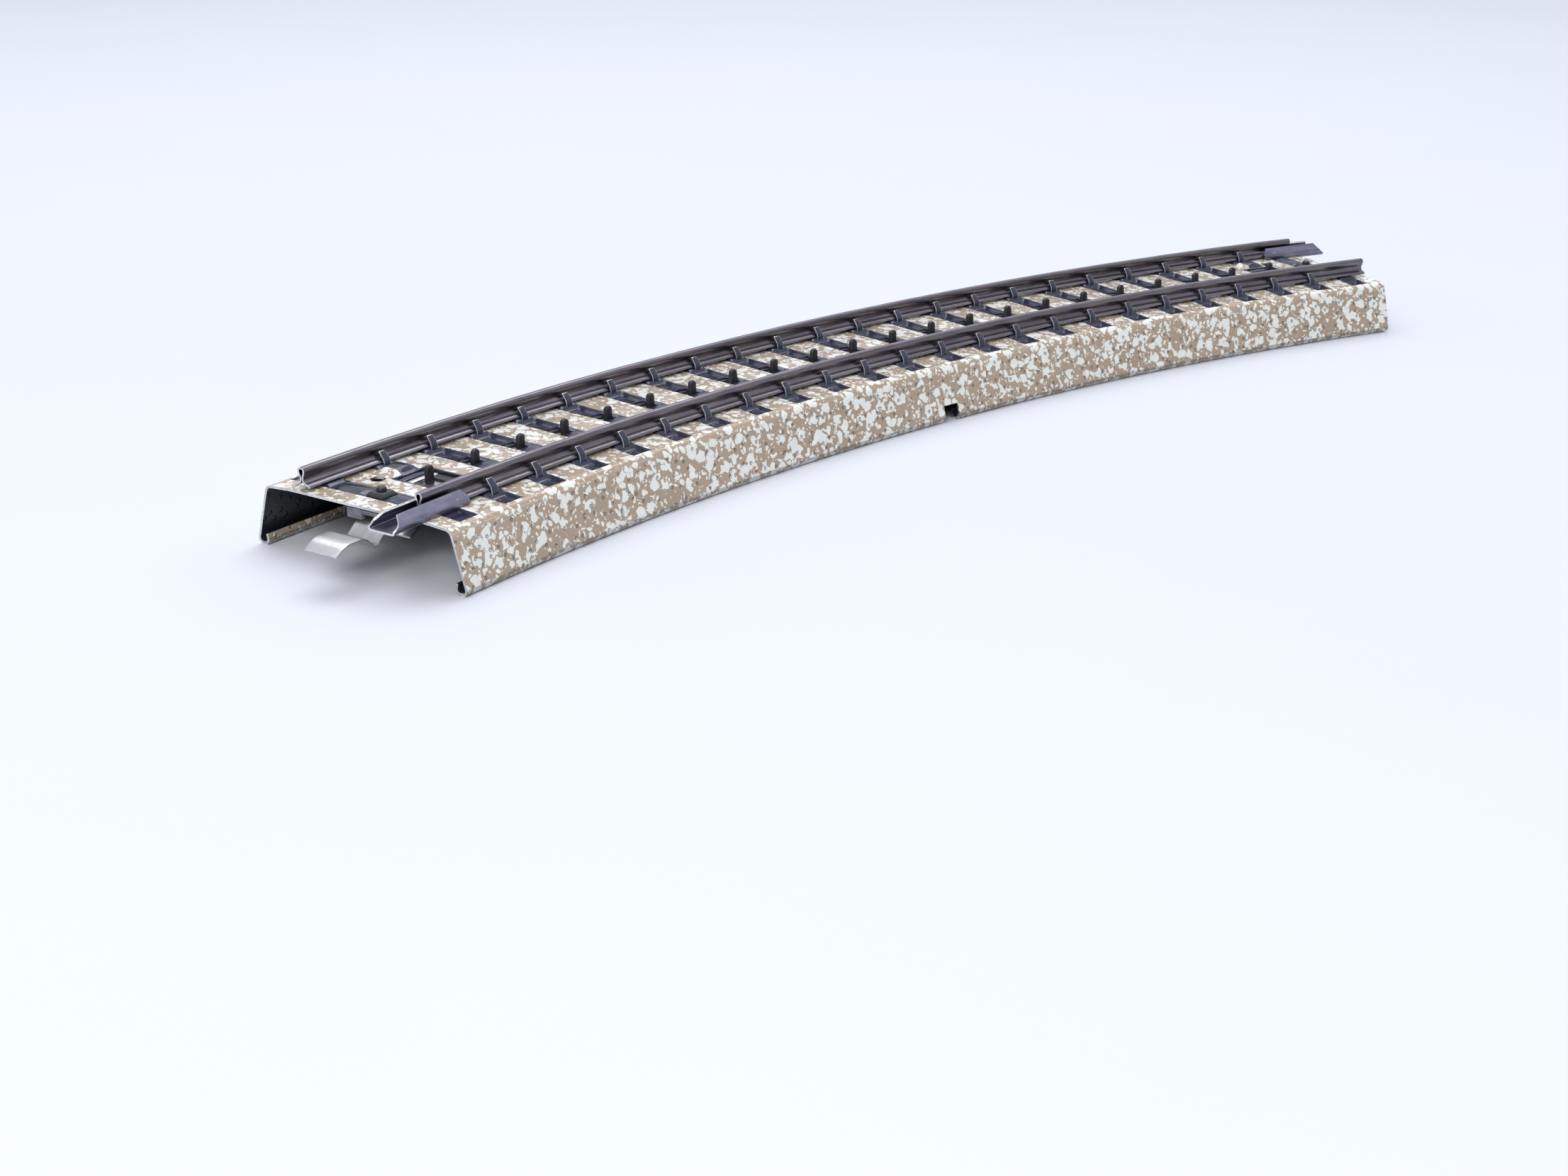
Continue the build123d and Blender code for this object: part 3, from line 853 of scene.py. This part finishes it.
# ------------------------------------------------------------------ contact springs
def build_spring(name, side):
    """Wavy tongue: a root under the deck, a steep drop, a crest and a tip that turns down."""
    root = [(-2.4, 6.71), (-1.6, 6.68)]
    wave = [(1.67, 3.9), (3.3, 5.66), (6.2, 5.66), (SPRING_TIP, 4.7)]
    path = smoothed(rounded(root + wave, 0.85, 5), 2)
    widths = filled([SPRING_INNER, SPRING_OUTER], 0.4)
    middle = (SPRING_INNER + SPRING_OUTER) / 2

    def corner(r, c):
        out, z = path[r]
        w = widths[c]
        edge = 1 - ramp(min(w - SPRING_INNER, SPRING_OUTER - w), 0.0, 0.35)
        swell = 0.10 * math.sin(math.pi * min(max(out / SPRING_TIP, 0), 1))
        w += math.copysign(swell * edge, w - middle)
        return beyond_end(side, out, -side * w, z - 0.04 * edge)

    spring = grid_object(name + "_sheet", len(path), len(widths), corner, [SPRING_STEEL, CUT_EDGE])
    if side > 0:
        spring.data.flip_normals()
    thicken(spring, SPRING_THICKNESS, 0, 1)
    settle(spring, 40)
    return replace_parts(spring, name)


# ------------------------------------------------------------------ centre conductor and studs
def stud_rings(angle, foot_half, top, bow):
    """Upright lug with a rounded top and rounded corners, bowed a little sideways."""
    rings = []
    shoulder = top - STUD_HALF
    rises = [DECK_TOP - 0.75, DECK_TOP - 0.2, DECK_TOP + 0.3]
    rises += [shoulder + STUD_HALF * math.sin(math.radians(a)) for a in (0, 20, 38, 54, 68, 80, 90)]
    for z in rises:
        share = (z - rises[0]) / (top - rises[0])
        dome = math.sqrt(max(0.03, 1 - (max(0.0, z - shoulder) / STUD_HALF) ** 2))
        half = (foot_half + (STUD_HALF - foot_half) * ramp(share, 0.0, 0.65)) * dome
        deep = STUD_DEEP * (1 - 0.08 * share) * dome ** 0.6
        ring = []
        for k in range(16):
            a = math.radians(22.5 * k + 11.25)
            s = half * math.copysign(abs(math.cos(a)) ** 0.45, math.cos(a))
            w = deep * math.copysign(abs(math.sin(a)) ** 0.45, math.sin(a))
            ring.append(place(w + bow * share, angle + degrees_of(s), z))
        rings.append(ring)
    return rings


def build_conductor():
    """The strip under the deck, its studs and the end plates with their side tabs."""
    studs = Solids()
    broad_feet = {8: 1.1, 15: 0.95, 22: 1.05}
    for sleeper in SLEEPER_LIST[1:-1]:
        angle = sleeper.angle + degrees_of(sleeper.slide * 0.4)
        foot_half = broad_feet.get(sleeper.index, STUD_HALF)
        top = STUD_TOP + random.uniform(-0.06, 0.03)
        bow = random.uniform(-0.08, 0.08)
        studs.loft(stud_rings(angle, foot_half, top, bow))
    studs = settle(studs.object("contact_studs", [OXIDE]), 50)

    lats = filled([-STRIP_HALF, STRIP_HALF, 0.4, 1.3], 0.5)
    columns = filled([-STRIP_END, STRIP_END], degrees_of(1.0))
    strip = grid_object("conductor_strip", len(lats), len(columns),
                        lambda r, c: place(lats[r], columns[c], STRIP_TOP), [SPRING_STEEL, CUT_EDGE])
    strip.data.flip_normals()
    settle(thicken(strip, STRIP_SHEET, 0, 1), 40)
    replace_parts(strip, "centre_conductor")

    flat = [(-7.2, STRIP_TOP), (-1.9, STRIP_TOP)]
    bent = rounded([(-2.4, STRIP_TOP), (-0.9, 7.05), (0.3, 6.45), (1.2, 6.05)], 0.6)
    plates = []
    for side, word in ((-1, "left"), (1, "right")):
        plates.append(build_plate("end_plate_" + word, side, PLATE_INNER, PLATE_OUTER, flat))
        plates.append(build_plate("side_tab_" + word, side, PLATE_INNER, TAB_OUTER, bent))
    return [studs, strip] + plates


def build_plate(name, side, low, high, path):
    """A plate at one end, between two offsets; the path gives distance past the deck and height."""
    widths = filled([low, high], 0.7)

    def corner(r, c):
        out, z = path[r]
        return beyond_end(side, out, -side * widths[c], z)

    plate = grid_object(name, len(path), len(widths), corner, [SPRING_STEEL, CUT_EDGE])
    if side > 0:
        plate.data.flip_normals()
    return settle(thicken(plate, PLATE_SHEET, 0, 1), 40)


def build_window_bars():
    """What shows in the two long windows: a bright rib of the strip and a dark folded liner edge."""
    pieces = []
    for name, low, high, top, material, slot in (
        ("window_rib", 0.95, 1.85, 7.62, SPRING_STEEL, "blackened_steel"),
        ("window_fold", 2.05, 3.25, 7.72, PAINT, "liner"),
    ):
        bars = Solids()
        for sleeper in (SLEEPER_LIST[1], SLEEPER_LIST[-2]):
            rings = []
            for s in filled([-WINDOW_HALF - 0.2, WINDOW_HALF + 0.2], 0.5):
                angle = sleeper.angle + degrees_of(s)
                arch = 0.05 * math.cos(s)
                mid = (low + high) / 2
                rings.append([place(low, angle, 7.2), place(high, angle, 7.2),
                              place(high, angle, top - 0.12 + arch), place(mid, angle, top + arch),
                              place(low, angle, top - 0.12 + arch)])
            bars.loft(rings)
        pieces.append(settle(soften(bars.object(name, [material]), 0.05), 40))
    return pieces


# ------------------------------------------------------------------ end insulators
def build_insulator(name, side):
    """Board under the deck with a notched flange, and the peg that shows in the end sleeper."""
    block = Solids()

    def slab(out_from, out_to, w_from, w_to, z_from, z_to):
        section = ((out_from, z_from), (out_to, z_from), (out_to, z_to), (out_from, z_to))
        block.loft([[beyond_end(side, out, -side * w, z) for out, z in section]
                    for w in (w_from, w_to)])

    # The board, the two feet of its flange and the web between them: from and to past the deck's
    # end, across the track, and in height.
    slab(-6.6, -0.02, -4.9, 1.4, 7.18, 7.44)
    slab(-0.62, 0.0, -4.9, -2.9, 6.25, 7.20)
    slab(-0.62, 0.0, -0.9, 1.4, 6.25, 7.20)
    slab(-0.62, -0.1, -2.95, -0.85, 6.90, 7.20)
    board = settle(soften(block.object(name + "_board", [BOARD]), 0.08), 40)
    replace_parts(board, name)

    peg = Solids()
    angle = side * sleeper_angle(SLEEPERS - 1)

    def ring(size, rise, corners):
        return [place(size * w, angle + degrees_of(size * s), DECK_TOP + rise) for s, w in corners]

    square = ((-1, -1), (1, -1), (1, 1), (-1, 1))
    circle = [(math.cos(k * math.pi / 10), math.sin(k * math.pi / 10)) for k in range(20)]
    collar = ((1.28, -0.1), (1.26, 0.12), (0.98, 0.46), (0.92, 0.50))
    knob = ((0.55, 0.40), (0.60, 0.55), (0.62, 0.72), (0.58, 0.90), (0.47, 1.01), (0.28, 1.07))
    peg.loft([ring(half, rise, square) for half, rise in collar])
    peg.loft([ring(radius, rise, circle) for radius, rise in knob])
    peg = settle(soften(peg.object(name + "_peg", [OXIDE]), 0.06), 40)
    return [board, peg]


# ------------------------------------------------------------------ build it all
track_pieces = [build_bed(), build_clips()]
track_pieces.append(build_rail("inner_rail", -RAIL_OFFSET, -JOINED_END, PLAIN_END))
track_pieces.append(build_rail("outer_rail", RAIL_OFFSET, -PLAIN_END, JOINED_END))
track_pieces.append(build_joiner("rail_joiner_left", -1))
track_pieces.append(build_joiner("rail_joiner_right", 1))
track_pieces += build_conductor()
track_pieces += build_window_bars()
track_pieces += build_insulator("end_insulator_left", -1)
track_pieces += build_insulator("end_insulator_right", 1)
for piece in track_pieces:
    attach(piece, "track")
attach(build_spring("contact_spring_left", -1), "spring_left")
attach(build_spring("contact_spring_right", 1), "spring_right")

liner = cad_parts["insulating_strip"]
liner.data.materials.clear()
liner.data.materials.append(LINER)

# ------------------------------------------------------------------ floor, light and camera
floor_mesh = bpy.data.meshes.new("floor")
floor_mesh.from_pydata([(-3, -3, 0), (3, -3, 0), (3, 3, 0), (-3, 3, 0)], [], [(0, 1, 2, 3)])
floor = add_object("floor", floor_mesh, [studio_floor()])


def area_light(name, location, size, power, colour):
    """A rectangular light that points at the middle of the track's base."""
    light = bpy.data.lights.new(name, "AREA")
    light.shape = "RECTANGLE"
    light.size, light.size_y = size
    light.energy = power
    light.color = colour
    obj = bpy.data.objects.new(name, light)
    obj.location = location
    obj.rotation_euler = (-Vector(location)).to_track_quat("-Z", "Y").to_euler()
    bpy.context.scene.collection.objects.link(obj)
    return obj


area_light("key", (-0.60, -0.45, 0.55), (0.45, 0.45), 5.0, (1.0, 0.995, 0.985))
area_light("top", (0.20, 0.30, 0.80), (0.9, 0.6), 5.0, (0.93, 0.96, 1.0))

# The surroundings are dark behind the camera and bright on the far side of the track.
world = bpy.data.worlds.new("studio")
bpy.context.scene.world = world
world.use_nodes = True
sky = world.node_tree
background = sky.nodes["Background"]
direction = sky.nodes.new("ShaderNodeTexCoord").outputs["Generated"]
facing = sky.nodes.new("ShaderNodeVectorMath")
facing.operation = "DOT_PRODUCT"
facing.inputs[1].default_value = (0.60, 0.68, 0.42)
lift = sky.nodes.new("ShaderNodeMapRange")
lift.inputs["From Min"].default_value = -1.0
lift.inputs["From Max"].default_value = 1.0
shade = sky.nodes.new("ShaderNodeValToRGB")
dim, bright = shade.color_ramp.elements
dim.position = 0.0
dim.color = (0.16, 0.16, 0.18, 1)
bright.position = 0.75
bright.color = (0.82, 0.84, 0.93, 1)
sky.links.new(direction, facing.inputs[0])
sky.links.new(facing.outputs["Value"], lift.inputs["Value"])
sky.links.new(lift.outputs[0], shade.inputs[0])
sky.links.new(shade.outputs[0], background.inputs[0])
background.inputs[1].default_value = 1.0

# The camera's place and turn were solved together with the curve of the track.
camera_data = bpy.data.cameras.new("camera")
camera_data.sensor_width = 36.0
camera_data.lens = 49.25
camera_data.clip_start = 0.01
camera = bpy.data.objects.new("camera", camera_data)
bpy.context.scene.collection.objects.link(camera)
view_right = Vector((0.748462794, -0.663176776, -0.0000972))
view_down = Vector((-0.240177063, -0.270927716, -0.932155111))
view_forward = Vector((0.618157281, 0.697706770, -0.362059165))
turn = Matrix((view_right, -view_down, -view_forward)).transposed()
camera.matrix_world = Matrix.Translation((-0.20967, -0.21140, 0.08737)) @ turn.to_4x4()
bpy.context.scene.camera = camera
bpy.context.scene.view_settings.view_transform = "Standard"
